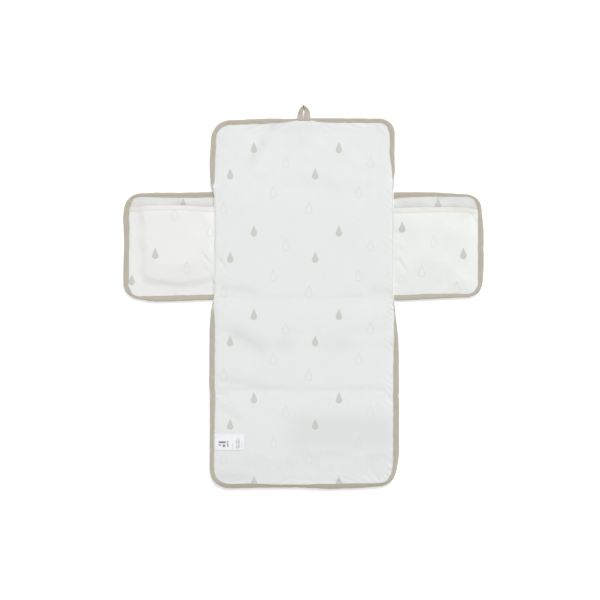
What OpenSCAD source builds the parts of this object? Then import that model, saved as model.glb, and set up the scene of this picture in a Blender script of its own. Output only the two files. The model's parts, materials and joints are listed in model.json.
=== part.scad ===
// Fold-up changing pad: a padded mat with two pocket wings, bound edges and a closing loop.
// Millimetres. +Z up, +Y towards the closing flap, the mat lies open and flat on Z = 0.
// The origin is the middle of the open pad's outline, on the surface it lies on.

/* [Mat] */
// Half of the mat's bound width
mat_half_w = 177; // [174:1:190]
// Half of the mat's width between the two wings
waist_half_w = 171; // [168:0.5:173]
// Y of the closing flap's bound edge
mat_top = 336; // [330:1:345]
// Y of the mat's other bound end
mat_bottom = -364; // [-370:1:-360]
// Radius of the mat's four corners
mat_corner_r = 36; // [20:1:45]

/* [Layers] */
// Thickness of the whole mat
mat_t = 6.2; // [5.8:0.1:7]
// Thickness of one layer of cover fabric
cloth_t = 0.5; // [0.4:0.1:0.6]
// Thickness of the binding tape
tape_t = 0.7; // [0.5:0.1:0.8]
// Width of the binding tape on each face
tape_w = 10.5; // [8:0.5:12]
// Width of the narrow seam tape beside the wings
seam_w = 3; // [2:0.5:5]

/* [Wings] */
// How far a wing reaches sideways
wing_w = 169.7; // [150:0.1:170]
// Y of the wings' lower edge
wing_bottom = -7.5; // [-7.5:0.5:0]
// Y of the wings' upper edge
wing_top = 198.5; // [190:0.5:198.5]
// Radius of the wings' outer corners
wing_corner_r = 34; // [20:1:45]
// Distance from the wing's upper edge down to the pocket's mouth
mouth_drop = 32; // [25:1:45]
// Width of the hem along the pocket's mouth
hem_w = 9; // [6:0.5:12]
// Clear height inside the pocket
pocket_gap = 6; // [5:0.1:6]
// Thickness of the hem's folded cloth
hem_t = 0.8; // [0.6:0.1:1]

/* [Folds] */
// Y of the fold line above the wings
upper_fold_y = 200; // [199.5:0.5:202]
// Y of the fold line below the wings
lower_fold_y = -9; // [-12:0.5:-9]
// Distance between the two bends of the upper fold
upper_fold_w = 22.5; // [22.5:0.5:26]
// Distance between the two bends of the lower fold
lower_fold_w = 15.5; // [15.5:0.5:19]
// Gap left between two neighbouring panels
panel_gap = 0.6; // [0.4:0.1:1]

/* [Loop and label] */
// Width of the closing loop
loop_w = 25; // [22:0.5:30]
// How far the loop reaches past its bend
loop_len = 25.7; // [22:0.1:27]
// Width of the slit between the loop's two legs
slit_w = 4.6; // [4.4:0.1:6]
// Length of the slit
slit_len = 15; // [12:0.5:18]
// Length of the care label
label_len = 53; // [40:1:60]
// Height of the care label
label_h = 30; // [20:1:35]
// Y of the care label's lower edge
label_y = -291.5; // [-300:0.5:-280]

/* [Button] */
// Radius of the closing button
button_r = 10; // [8:0.5:11]
// Thickness of the closing button
button_t = 2.6; // [2:0.1:2.8]
// Y of the button on the lower panel's back
button_y = -99; // [-110:1:-90]

/* [Hidden] */

cover_colour = "#e9ebe9";
padding_colour = "#f7f7f4";
tape_colour = "#b9b0a2";
hem_colour = "#efeee6";
button_colour = "#a3927c";
thread_colour = "#d8d2c6";

arc_steps = 8;
half_gap = panel_gap / 2;
// The step that brings the cover level with the tape on its rim starts this far inside the tape.
step_gap = 0.5;

// Y of the second bend of each fold, and of the fold across the mat's lower half.
upper_bend_y = upper_fold_y + upper_fold_w;
lower_bend_y = lower_fold_y - lower_fold_w;
end_fold_y = (lower_bend_y + mat_bottom - 1) / 2;

// Heights of the layers at the bound rim.
rim_low = tape_t;
rim_high = mat_t - tape_t;

// Heights of the wing's layers.
wing_lining_z = tape_t + cloth_t;
pocket_rim_z = wing_lining_z + cloth_t;
wing_rim_t = pocket_rim_z + cloth_t + tape_t;
pocket_roof_z = pocket_rim_z + pocket_gap;
wing_hinge_gap = 0.8;
wing_x0 = waist_half_w + wing_hinge_gap;
mouth_y = wing_top - mouth_drop;
hem_y = mouth_y - hem_w;

// The loop bends this far outside the bound edge.
loop_stand_off = 2.3;
loop_t = 2;
leg_w = (loop_w - slit_w) / 2;

// The label lies in a shallow hollow that it presses into the cover, with a little room around it.
label_t = 0.3;
label_sink = 0.25;
label_room = 0.2;
label_x = -mat_half_w + tape_w + step_gap + 2 * label_room;

// Cutting blocks reach this far past every solid.
beyond = 500;

// The back is pressed up around the button in a round dimple.
dimple_r = 12.5;
dimple_depth = 3.9;
button_z = 0.7;
button_hole_r = 1;
button_hole_x = 2.6;
thread_r = 0.7;

// Panels are [x0, x1, y0, y1, free sides, corner radii]. The free sides are 1 or 0 for left, right,
// bottom and top; the radii are for bottom left, bottom right, top right and top left.
flap = [-mat_half_w, mat_half_w, upper_bend_y + half_gap, mat_top,
        [1, 1, 0, 1], [0, 0, mat_corner_r, mat_corner_r]];
upper_fold = [-mat_half_w, mat_half_w, upper_fold_y + half_gap, upper_bend_y - half_gap,
              [1, 1, 0, 0], [0, 0, 0, 0]];
centre = [-waist_half_w, waist_half_w, lower_fold_y + half_gap, upper_fold_y - half_gap,
          [1, 1, 0, 0], [0, 0, 0, 0]];
lower_fold = [-mat_half_w, mat_half_w, lower_bend_y + half_gap, lower_fold_y - half_gap,
              [1, 1, 0, 0], [0, 0, 0, 0]];
lower_panel = [-mat_half_w, mat_half_w, end_fold_y + half_gap, lower_bend_y - half_gap,
               [1, 1, 0, 0], [0, 0, 0, 0]];
end_panel = [-mat_half_w, mat_half_w, mat_bottom, end_fold_y - half_gap,
             [1, 1, 1, 0], [mat_corner_r, mat_corner_r, 0, 0]];
wing = [wing_x0, wing_x0 + wing_w, wing_bottom, wing_top,
        [0, 1, 1, 1], [0, wing_corner_r, wing_corner_r, 0]];

// A corner of radius r in the direction of the signs sx and sy, from angle a0 to a0 + 90.
function corner(x, y, sx, sy, r, a0) =
    r <= 0 ? [[x, y]]
    : [for (i = [0:arc_steps]) let (a = a0 + 90 * i / arc_steps)
        [x - sx * r + r * cos(a), y - sy * r + r * sin(a)]];

// A panel's outline with its free sides drawn in by d.
function panel_points(p, d) =
    let (x0 = p[0] + p[4][0] * d, x1 = p[1] - p[4][1] * d,
         y0 = p[2] + p[4][2] * d, y1 = p[3] - p[4][3] * d, r = p[5])
    concat(corner(x0, y0, -1, -1, r[0] - d, 180), corner(x1, y0, 1, -1, r[1] - d, 270),
           corner(x1, y1, 1, 1, r[2] - d, 0), corner(x0, y1, -1, 1, r[3] - d, 90));

// A slab with a panel's outline drawn in by d, from z0 to z1.
module slab(p, d, z0, z1) {
    translate([0, 0, z0]) linear_extrude(z1 - z0) polygon(panel_points(p, d));
}

// A slab that cuts right past the panel's folded ends.
module cutter(p, d, z0, z1) {
    longer = [p[0] - (1 - p[4][0]), p[1] + (1 - p[4][1]), p[2] - (1 - p[4][2]), p[3] + (1 - p[4][3]), p[4], p[5]];
    slab(longer, d, z0, z1);
}

// The top fabric of a mat panel: its rim lies under the tape and its middle is level with the tape.
module cover(p, w) {
    color(cover_colour) difference() {
        union() {
            slab(p, tape_t, rim_high - cloth_t, rim_high);
            slab(p, w + step_gap, rim_high - cloth_t, mat_t);
        }
        cutter(p, w + step_gap + cloth_t, rim_high - cloth_t - 1, mat_t - cloth_t);
    }
}

// The outer fabric, the cover's mirror image. Its middle lies on Z = 0.
module backing(p, w) {
    color(cover_colour) difference() {
        union() {
            slab(p, tape_t, rim_low, rim_low + cloth_t);
            slab(p, w + step_gap, 0, rim_low + cloth_t);
        }
        cutter(p, w + step_gap + cloth_t, cloth_t, rim_low + cloth_t + 1);
    }
}

// The wadding between the two fabrics.
module padding(p, w) {
    color(padding_colour) union() {
        slab(p, tape_t, rim_low + cloth_t, rim_high - cloth_t);
        slab(p, w + step_gap + cloth_t, cloth_t, mat_t - cloth_t);
    }
}

// Tape folded round a rim of height h, w wide on each face, with a slot for the layers it holds.
module binding(p, w, h) {
    difference() {
        slab(p, 0, 0, h);
        cutter(p, w, -1, h + 1);
        cutter(p, tape_t, tape_t, h - tape_t);
    }
}

// Keeps what lies on one side of x = 0.
module side(sign) {
    intersection() {
        children();
        translate([sign > 0 ? 0 : -beyond, -beyond, -beyond]) cube([beyond, 2 * beyond, 2 * beyond]);
    }
}

module seam_tape(sign) {
    color(cover_colour) side(sign) binding(centre, seam_w, mat_t);
}

module dimple(r, z0, z1) {
    translate([0, button_y, z0]) cylinder(h = z1 - z0, r = r, $fn = 64);
}

module lower_panel_backing() {
    color(cover_colour) difference() {
        union() {
            backing(lower_panel, tape_w);
            dimple(dimple_r + cloth_t, 0, dimple_depth + cloth_t);
        }
        dimple(dimple_r, -1, dimple_depth);
    }
}

module lower_panel_padding() {
    color(padding_colour) difference() {
        padding(lower_panel, tape_w);
        dimple(dimple_r + cloth_t, 0, dimple_depth + cloth_t);
    }
}

// A dished button with two holes, its dish facing the floor.
module closing_button() {
    color(button_colour) translate([0, button_y, button_z]) difference() {
        rotate_extrude($fn = 64) polygon([
            [0, 0.6], [button_r - 3, 0.6], [button_r - 2, 0], [button_r - 0.8, 0],
            [button_r, 0.9], [button_r, button_t - 0.6], [button_r - 0.8, button_t], [0, button_t]
        ]);
        for (x = [-1, 1]) translate([x * button_hole_x, 0, -1])
            cylinder(h = button_t + 2, r = button_hole_r, $fn = 32);
    }
}

// Thread through the button's holes, with a wrapped shank between the button and the back.
module button_thread() {
    shank_z = button_z + button_t;
    color(thread_colour) translate([0, button_y, 0]) union() {
        for (x = [-1, 1]) translate([x * button_hole_x, 0, button_z])
            cylinder(h = button_t + 0.2, r = thread_r, $fn = 24);
        translate([-button_hole_x - thread_r, -thread_r, button_z])
            cube([2 * (button_hole_x + thread_r), 2 * thread_r, 0.6]);
        translate([0, 0, shank_z])
            cylinder(h = dimple_depth - shank_z, r = button_hole_x + thread_r + 0.3, $fn = 32);
    }
}

module loop_ends() {
    color(tape_colour) for (x = [-loop_w / 2, slit_w / 2])
        translate([x, mat_top, 0]) cube([leg_w, loop_stand_off - 0.2, loop_t]);
}

// Flat tape laid up and down side by side, with a pointed fold at its tip.
module closing_loop() {
    y0 = mat_top + loop_stand_off;
    shoulder = loop_len * 0.55;
    color(tape_colour) difference() {
        linear_extrude(loop_t) polygon([
            [-loop_w / 2, y0], [loop_w / 2, y0], [loop_w / 2, y0 + shoulder],
            [loop_w * 0.38, y0 + loop_len * 0.82], [loop_w * 0.12, y0 + loop_len],
            [-loop_w * 0.12, y0 + loop_len], [-loop_w * 0.36, y0 + loop_len * 0.8],
            [-loop_w / 2, y0 + shoulder]
        ]);
        translate([-slit_w / 2, y0 - 1, -1]) cube([slit_w, slit_len + 1, loop_t + 2]);
    }
}

// A block over the label's place, wider than the label by room on each side.
module label_block(room, z, t) {
    translate([label_x - room, label_y - room, z]) cube([label_len + 2 * room, label_h + 2 * room, t]);
}

// A folded satin label on the end panel, beside its left binding.
module care_label() {
    color("white") label_block(0, mat_t - label_sink, label_t);
}

module end_panel_cover() {
    color(cover_colour) difference() {
        cover(end_panel, tape_w);
        label_block(label_room, mat_t - label_sink, label_t);
    }
}

// Wings are drawn on the right and mirrored for the left.
module on_side(sign) {
    if (sign > 0) children();
    else mirror([1, 0, 0]) children();
}

module wing_backing(sign) {
    color(cover_colour) on_side(sign) slab(wing, tape_t, tape_t, wing_lining_z);
}

module wing_lining(sign) {
    color(cover_colour) on_side(sign) slab(wing, tape_t, wing_lining_z, pocket_rim_z);
}

module wing_binding(sign) {
    color(tape_colour) on_side(sign) binding(wing, tape_w, wing_rim_t);
}

// The pocket's shell: a raised roof with walls on three sides and a rim under the binding.
module pocket_shell(roof_t, wall_t) {
    inner = [wing[0] + wall_t, wing[1], wing[2], wing[3], wing[4], wing[5]];
    difference() {
        union() {
            slab(wing, tape_t, pocket_rim_z, pocket_rim_z + cloth_t);
            slab(wing, tape_w + step_gap, pocket_rim_z, pocket_roof_z + roof_t);
        }
        slab(inner, tape_w + step_gap + wall_t, pocket_rim_z - 1, pocket_roof_z + roof_t - wall_t);
    }
}

module between_y(y0, y1) {
    intersection() {
        children();
        translate([0, y0, -beyond]) cube([beyond, y1 - y0, 2 * beyond]);
    }
}

module pocket_front(sign) {
    color(cover_colour) on_side(sign) between_y(wing_bottom - 1, hem_y)
        pocket_shell(cloth_t, cloth_t);
}

module pocket_hem(sign) {
    color(hem_colour) on_side(sign) between_y(hem_y, mouth_y)
        pocket_shell(cloth_t, hem_t);
}

cover(centre, seam_w);  // centre_cover
padding(centre, seam_w);  // centre_padding
backing(centre, seam_w);  // centre_backing
seam_tape(-1);  // left_seam_tape
seam_tape(1);  // right_seam_tape

cover(upper_fold, tape_w);  // upper_fold_cover
padding(upper_fold, tape_w);  // upper_fold_padding
backing(upper_fold, tape_w);  // upper_fold_backing
color(tape_colour) binding(upper_fold, tape_w, mat_t);  // upper_fold_binding

cover(flap, tape_w);  // flap_cover
padding(flap, tape_w);  // flap_padding
backing(flap, tape_w);  // flap_backing
color(tape_colour) binding(flap, tape_w, mat_t);  // flap_binding
loop_ends();
closing_loop();

cover(lower_fold, tape_w);  // lower_fold_cover
padding(lower_fold, tape_w);  // lower_fold_padding
backing(lower_fold, tape_w);  // lower_fold_backing
color(tape_colour) binding(lower_fold, tape_w, mat_t);  // lower_fold_binding

cover(lower_panel, tape_w);  // lower_panel_cover
lower_panel_padding();
lower_panel_backing();
color(tape_colour) binding(lower_panel, tape_w, mat_t);  // lower_panel_binding
closing_button();
button_thread();

end_panel_cover();
padding(end_panel, tape_w);  // end_panel_padding
backing(end_panel, tape_w);  // end_panel_backing
color(tape_colour) binding(end_panel, tape_w, mat_t);  // end_panel_binding
care_label();

wing_backing(-1);  // left_wing_backing
wing_lining(-1);  // left_wing_lining
wing_binding(-1);  // left_wing_binding
pocket_front(-1);  // left_pocket_front
pocket_hem(-1);  // left_pocket_hem

wing_backing(1);  // right_wing_backing
wing_lining(1);  // right_wing_lining
wing_binding(1);  // right_wing_binding
pocket_front(1);  // right_pocket_front
pocket_hem(1);  // right_pocket_hem
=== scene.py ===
"""Looks of the fold-up changing pad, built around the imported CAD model, in metres. Lists are in millimetres
where they say so."""
import math

import bmesh
import bpy
import numpy as np
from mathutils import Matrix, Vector
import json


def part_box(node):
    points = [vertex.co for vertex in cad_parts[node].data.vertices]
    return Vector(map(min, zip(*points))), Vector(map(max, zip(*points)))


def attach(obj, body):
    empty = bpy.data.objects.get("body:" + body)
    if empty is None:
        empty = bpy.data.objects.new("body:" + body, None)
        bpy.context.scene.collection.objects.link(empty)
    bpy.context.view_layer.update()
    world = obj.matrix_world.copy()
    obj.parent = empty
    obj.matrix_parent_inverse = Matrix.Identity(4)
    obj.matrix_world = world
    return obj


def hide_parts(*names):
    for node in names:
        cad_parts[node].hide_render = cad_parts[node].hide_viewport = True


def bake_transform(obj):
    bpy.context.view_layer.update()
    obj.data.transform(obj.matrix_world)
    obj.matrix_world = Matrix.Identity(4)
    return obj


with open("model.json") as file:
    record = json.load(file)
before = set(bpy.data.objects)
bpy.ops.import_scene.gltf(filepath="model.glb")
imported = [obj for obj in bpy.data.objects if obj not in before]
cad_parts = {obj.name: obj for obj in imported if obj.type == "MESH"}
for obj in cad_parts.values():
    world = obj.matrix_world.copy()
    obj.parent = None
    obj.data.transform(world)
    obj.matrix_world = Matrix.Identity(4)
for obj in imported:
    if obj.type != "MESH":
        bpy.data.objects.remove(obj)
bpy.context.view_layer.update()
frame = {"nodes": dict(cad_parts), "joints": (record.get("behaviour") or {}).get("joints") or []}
MM = 0.001

# ---- sizes, from the CAD model
hinges = {j["name"]: j["pos_m"] for j in frame["joints"]}
mat_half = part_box("flap_binding")[1].x
mat_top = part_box("flap_binding")[1].y
mat_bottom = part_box("end_panel_binding")[0].y
mat_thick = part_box("flap_binding")[1].z
seam_low, seam_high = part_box("right_seam_tape")
waist_half, waist_low, waist_high = seam_high.x, seam_low.y, seam_high.y
wing_low, wing_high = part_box("right_wing_binding")
mouth_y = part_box("right_pocket_hem")[1].y
hem_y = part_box("right_pocket_hem")[0].y
pocket_top_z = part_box("right_pocket_front")[1].z
button_y = (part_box("closing_button")[0].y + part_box("closing_button")[1].y) / 2
label_low, label_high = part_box("care_label")
loop_root_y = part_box("loop_ends")[0].y

corner = 36 * MM
wing_corner = 34 * MM
tape_w = 10.5 * MM
sharp_angle = math.radians(40)
path_step = 2.4 * MM
tape_thick = 0.7 * MM
seam_w = 2.2 * MM
# The cover ends this far inside the bound edge, hidden in the tape.
tuck = 2.5 * MM

tape_top = 4.9 * MM
tape_low = 0.25 * MM
crown = mat_thick - 0.1 * MM
# Beside the wings the tape and the seam stand this high, and the cover a little higher.
bare_top = 5.1 * MM
bare_rim = 5.3 * MM
wing_tape_top = 3.1 * MM

# Fold lines across the mat, from the flap down, and the lines where its pieces meet.
upper_y, flap_y = hinges["upper_fold"][1], hinges["flap_fold"][1]
lower_y, panel_y, end_y = (hinges[n][1] for n in ("lower_fold", "lower_panel_fold", "end_fold"))
split_flap = (upper_y + flap_y) / 2
split_centre = (upper_y + lower_y) / 2
split_lower = (lower_y + panel_y) / 2
split_panel = (panel_y + end_y) / 2

# ---- small numeric helpers


def ramp(a, b, t):
    """Smooth step from 0 at a to 1 at b."""
    s = np.clip((t - a) / (b - a), 0, 1)
    return s * s * (3 - 2 * s)


def bell(t, middle, width):
    return np.exp(-((t - middle) / width) ** 2)


def waves(x, y, longest, shortest, turn):
    """A smooth uneven field of about -1 to 1, made of sines in many directions."""
    total, count = 0, 9
    for k in range(count):
        angle = turn + 2.4 * k
        length = longest * (shortest / longest) ** (k / (count - 1))
        along = x * math.cos(angle) + y * math.sin(angle)
        total = total + np.sin(2 * math.pi * along / length + 1.7 * k * k + turn)
    return total / math.sqrt(count)


def curve(t, knots):
    """A smooth curve through (place, value) knots in millimetres, level at its ends, given in metres."""
    at, value = np.array(knots, float).T * MM
    pitch = np.diff(value) / np.diff(at)
    slope = np.zeros_like(value)
    same = pitch[:-1] * pitch[1:] > 0
    slope[1:-1][same] = 2 / (1 / pitch[:-1][same] + 1 / pitch[1:][same])
    t = np.clip(t, at[0], at[-1])
    i = np.clip(np.searchsorted(at, t) - 1, 0, len(at) - 2)
    gap = at[i + 1] - at[i]
    s = (t - at[i]) / gap
    level = value[i] + (value[i + 1] - value[i]) * s * s * (3 - 2 * s)
    return level + gap * (slope[i] * s * (1 - s) ** 2 - slope[i + 1] * s * s * (1 - s))


def steps(*stops):
    """Values from (start, end, step) stretches that join, each stretch evenly divided."""
    rows = []
    for a, b, step in stops:
        rows.extend(np.linspace(a, b, max(2, round(abs(b - a) / step) + 1))[:-1])
    return np.array(rows + [stops[-1][1]])


# ---- the mat's shape


def mat_depth(x, y):
    """Distance inside the mat's bound outline, before the outline is shaped."""
    qx = np.abs(x) - (mat_half - corner)
    qy = np.maximum(y - (mat_top - corner), (mat_bottom + corner) - y)
    outside = np.hypot(np.maximum(qx, 0), np.maximum(qy, 0))
    return corner - outside - np.minimum(np.maximum(qx, qy), 0)


def waist(y):
    """1 between the wings, where the mat has no tape, and 0 beside its bound edges."""
    above = ramp(waist_high - 1 * MM, waist_high + 30 * MM, y)
    below = ramp(waist_low + 1 * MM, waist_low - 30 * MM, y)
    return (1 - above) * (1 - below)


# How far each sewn edge of the mat stands outside its straight outline, as (place along it, distance) in
# millimetres: the seams draw the mat in between the wings, and its padding pushes it out below them.
MAT_EDGES = {
    "left": [(-340, 1.5), (-230, 1), (-160, 2), (-90, 2), (-55, 1), (-25, -1.5), (5, -6.6), (190, -6.6),
             (210, -1.5), (230, 0.7), (260, 1), (305, -1.5)],
    "right": [(-345, -2), (-290, 4), (-120, 3.5), (-80, 2), (-25, -4), (0, -6.7), (205, -7), (220, -6.5),
              (240, -4.5), (300, -4.5), (330, 0)],
    "top": [(-155, -1), (-55, 2.5), (-25, 1.5), (25, 3), (150, 2.5)],
    "bottom": [(-140, -0.5), (-60, -2), (-20, -2), (50, 0.5), (90, -0.5), (150, -4)],
}
# Width of tape that shows along each edge of the mat, in millimetres.
MAT_TAPE = {
    "left": [(-340, 8), (-270, 8), (-190, 9.8), (-65, 9.7), (-25, 5.5), (-5, 1), (200, 1), (220, 7.5),
             (270, 10)],
    "right": [(-340, 9), (-290, 11), (-120, 10), (-65, 7), (-25, 2), (-10, 1), (215, 1), (235, 6),
              (280, 11.3)],
    "top": [(-95, 10), (-60, 9), (-20, 5), (-10, 3.2), (10, 3.4), (30, 7.6), (75, 8.6)],
    "bottom": [(-110, 9), (-40, 6), (-10, 6), (30, 9), (75, 10), (150, 7)],
}
middle_y = (mat_top + mat_bottom) / 2


def beside_mat(table, x, y):
    """Values of the nearest side and of the nearest end of the mat."""
    sides = np.where(x < 0, curve(y, table["left"]), curve(y, table["right"]))
    return sides, np.where(y > middle_y, curve(x, table["top"]), curve(x, table["bottom"]))


def mat_tape_width(x, y):
    """Visible width of the mat's tape near any point: almost nothing beside the wings."""
    sides, ends = beside_mat(MAT_TAPE, x, y)
    beyond_end = np.maximum(y - (mat_top - corner), (mat_bottom + corner) - y)
    beyond_side = np.abs(x) - (mat_half - corner)
    width = sides + (ends - sides) * ramp(-12 * MM, 12 * MM, beyond_end - beyond_side)
    return width + 0.25 * MM * waves(x, y, 60 * MM, 14 * MM, 0.4)


def roll_under(y):
    """How far the tape's outer edge rolls under at the mat's lower end."""
    return 1.5 * MM * ramp(mat_bottom + 16 * MM, mat_bottom, y)


def shape_mat(x, y):
    """Moves points of the straight-sided mat to the soft, slightly uneven outline of the sewn one."""
    side = np.sign(x)
    out, up = beside_mat(MAT_EDGES, x, y)
    out = out - 1.0 * MM * bell(y, end_y + 7 * MM, 6 * MM)
    out = out + 0.22 * MM * waves(side * 0.2 + 0 * y, y, 60 * MM, 16 * MM, 1.1)
    end = np.sign(y - middle_y)
    up = up + 0.22 * MM * waves(x, end * 0.3 + 0 * x, 60 * MM, 16 * MM, 2.3)
    rim_x = (np.abs(x) / mat_half) ** 5
    rim_y = (np.abs(y - middle_y) / ((mat_top - mat_bottom) / 2)) ** 7
    return x + side * rim_x * out, y + end * rim_y * up


def hollow(t):
    """A soft valley, steep on its positive side and gentle on the other."""
    return -np.where(t > 0, np.exp(-np.abs(t) ** 1.7), np.exp(-np.abs(t / 3.5) ** 1.2))


def groove(x, y, start, end, depth, width, fade):
    """A soft wrinkle along the line from start to end, steep on its side nearer the flap."""
    (x0, y0), (x1, y1) = start, end
    length = math.hypot(x1 - x0, y1 - y0)
    ux, uy = (x1 - x0) / length, (y1 - y0) / length
    along = (x - x0) * ux + (y - y0) * uy
    across = ((y - y0) * ux - (x - x0) * uy) * (1 if 2 * ux > uy else -1)
    inside = ramp(-fade, fade, along) * ramp(length + fade, length - fade, along)
    return depth * inside * hollow((across + 0.5 * width) / width)


def wrinkles(x, y, rows, fade=14 * MM):
    """All the grooves of a list of wrinkles, which is in millimetres."""
    total = 0
    for start, end, depth, width in rows:
        ends = [(a * MM, b * MM) for a, b in (start, end)]
        total = total + groove(x, y, *ends, depth * MM, width * MM, fade)
    return total


# The mat's soft swell from the closing flap to the end panel: place along Y and height, in millimetres.
MAT_SWELL = [(-355, 4.5), (-330, 5), (-250, 7.5), (-225, 8), (-180, 6.5), (-140, 7.9), (-95, 6.5), (-50, 8.1),
             (0, 7.2), (30, 7.6), (60, 7.2), (180, 6.2), (225, 5.8), (290, 5.4), (330, 4.9)]

# Wrinkles of the mat's cover: start, end, depth and half width.
MAT_WRINKLES = [
    ((-54, 334), (-96, 262), 0.9, 8.0),
    ((-100, 326), (-116, 296), 0.50, 6.0),
    ((-164, 18), (-88, 9), 0.9, 10.0),
    ((-168, 76), (-152, 58), 0.60, 3.2),
    ((124, 12), (180, 8), 0.9, 11.0),
    ((158, 78), (168, 81), 0.40, 2.4),
    ((-152, -58), (-76, -98), 1.0, 15.0),
    ((-60, -62), (60, -74), 0.30, 12.0),
    ((60, -70), (170, -56), 0.45, 12.0),
    ((-180, -150), (-76, -170), 0.8, 12.0),
    ((-174, -180), (-150, -185), 0.60, 4.0),
    ((152, -190), (176, -182), 0.60, 4.0),
    ((-162, -206), (-116, -234), 0.65, 9.0),
    ((-30, -236), (160, -244), 0.45, 13.0),
    ((118, -312), (148, -352), 0.45, 9.0),
    ((-166, -346), (-104, -342), 0.60, 8.0),
    ((-20, -346), (60, -350), 0.40, 8.0),
]

# Where the cover is painted a little greyer, in place of soft shading that its shape doesn't give:
# start, end, reach and how much.
GREYED = [
    ((-60, 320), (-95, 260), 15, 6),
    ((-125, -75), (-80, -95), 30, 4),
    ((-40, -90), (170, -90), 25, 5),
    ((-150, 320), (150, 320), 50, 3),
    ((0, -265), (150, -265), 65, 7),
    ((-170, -345), (-110, -350), 25, 5),
]


def crease(x, y, at, depth, reach, turn):
    """A fold that was pressed across the mat and has opened again."""
    line = at + 1.6 * MM * waves(x, at + 0 * x, 300 * MM, 90 * MM, turn)
    uneven = 0.85 + 0.25 * waves(x, 0.1 + 0 * x, 300 * MM, 70 * MM, turn + 1)
    return depth * uneven * hollow((y - line) / reach)


def cover_height(x, y):
    """Height of the mat's printed cover over the straight-sided mat."""
    depth = mat_depth(x, y)
    bare = waist(y)
    covered = mat_tape_width(x, y)
    inside = np.maximum(depth - covered, 0)
    rim = (tape_top - 0.45 * MM) * (1 - bare) + bare_rim * bare
    rim = rim - roll_under(y) * np.clip(1.1 - depth / covered, 0, 1)
    reach = 8.5 * MM * (1 - bare) + 3.5 * MM * bare
    drift = 5 * MM * waves(x, 0 * y, 420 * MM, 160 * MM, 0.5)
    swell = curve(y + drift, MAT_SWELL) + 0.22 * MM * waves(x, y, 240 * MM, 70 * MM, 1.9)
    swell = swell + 0.09 * MM * waves(x, y, 60 * MM, 22 * MM, 2.1)
    folds = crease(x, y, upper_y + 2 * MM, 0.15 * MM, 9 * MM, 0.2)
    folds = folds + crease(x, y, lower_y + 4 * MM, 0.32 * MM, 7 * MM, 1.7)
    folds = folds + crease(x, y, end_y + 17 * MM, 0.55 * MM, 6 * MM, 3.4)
    folds = folds + wrinkles(x, y, MAT_WRINKLES)
    soft = np.minimum(swell, crown - 0.05 * MM) + folds
    height = rim + (soft - rim) * (1 - np.exp(-inside / reach))
    gather = 0.55 + 0.45 * waves(x, y, 150 * MM, 40 * MM, 5.0)
    ripple = (0.7 * np.abs(x) + y) / (13 * MM)
    pucker = np.sin(2 * math.pi * ripple + 2.2 * waves(x, y, 90 * MM, 40 * MM, 4.0))
    pucker = pucker * 0.32 * MM * gather * np.exp(-inside / (9 * MM)) * (1 - np.exp(-inside / MM))
    return np.clip(height + pucker, 2.6 * MM, crown)


def back_height(x, y):
    """Height of the mat's outer fabric: on the floor, drawn up at the tape and round the button."""
    depth = mat_depth(x, y)
    edge = 0.5 * MM * np.exp(-np.maximum(depth - tape_w, 0) / (9 * MM))
    rest = 0.12 * MM * (1 + waves(x, y, 200 * MM, 40 * MM, 1.3)) * 0.5
    reach = np.hypot(x, y - button_y)
    dimple = 3.9 * MM * ramp(17 * MM, 12 * MM, reach)
    return np.maximum(edge + rest + 0.1 * MM, dimple)


# ---- meshes


def grid_faces(rows, cols, flip=False):
    i = (np.arange(rows - 1)[:, None] * cols + np.arange(cols - 1)[None, :]).ravel()
    quads = np.stack([i, i + 1, i + 1 + cols, i + cols], 1)
    return (quads[:, ::-1] if flip else quads).tolist()


def make_piece(name, points, faces, uvs, material, normals=None):
    """A smooth-shaded mesh object. uvs are one per point, in metres, on the map called rest."""
    mesh = bpy.data.meshes.new(name)
    mesh.from_pydata(np.asarray(points).tolist(), [], faces)
    mesh.polygons.foreach_set("use_smooth", [True] * len(mesh.polygons))
    layer = mesh.uv_layers.new(name="rest")
    loops = np.zeros(len(mesh.loops), np.int32)
    mesh.loops.foreach_get("vertex_index", loops)
    layer.data.foreach_set("uv", np.asarray(uvs, np.float32)[loops].ravel())
    mesh.materials.append(material)
    if normals is None:
        mesh.set_sharp_from_angle(angle=sharp_angle)
    else:
        mesh.normals_split_custom_set_from_vertices(np.asarray(normals).tolist())
    piece = bpy.data.objects.new(name, mesh)
    bpy.context.scene.collection.objects.link(piece)
    return piece


def grid_normals(x, y, z):
    """Unit normals of a grid of points, from its neighbours."""
    p = np.stack([x, y, z], -1)
    n = np.cross(np.gradient(p, axis=1), np.gradient(p, axis=0))
    return n / np.linalg.norm(n, axis=-1, keepdims=True)


def slab_from_grid(name, grid, floor_z, material, flip=False):
    """A closed soft slab. grid = (x, y, z, normals) is its shown face; its other face is flat, at floor_z."""
    x, y, z, normals = grid
    rows, cols = x.shape
    shown = np.stack([x, y, z], -1).reshape(-1, 3)
    ends = [np.stack([x[:, c], y[:, c], np.full(rows, floor_z)], -1) for c in (0, -1)]
    points = np.concatenate([shown, *ends])
    left, right = rows * cols, rows * cols + rows
    faces = grid_faces(rows, cols)
    for j in range(rows - 1):
        a, b = j * cols, (j + 1) * cols
        faces.append([a, b, left + j + 1, left + j])
        faces.append([b + cols - 1, a + cols - 1, right + j, right + j + 1])
        faces.append([left + j, left + j + 1, right + j + 1, right + j])
    last = rows - 1
    faces.append([*range(cols - 1, -1, -1), left, right])
    faces.append([*range(last * cols, rows * cols), right + last, left + last])
    if flip:
        faces = [f[::-1] for f in faces]
    out = np.concatenate([normals.reshape(-1, 3), np.tile([0, 0, -1.0 if not flip else 1.0], (2 * rows, 1))])
    return make_piece(name, points, faces, points[:, :2], material, out)


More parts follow.
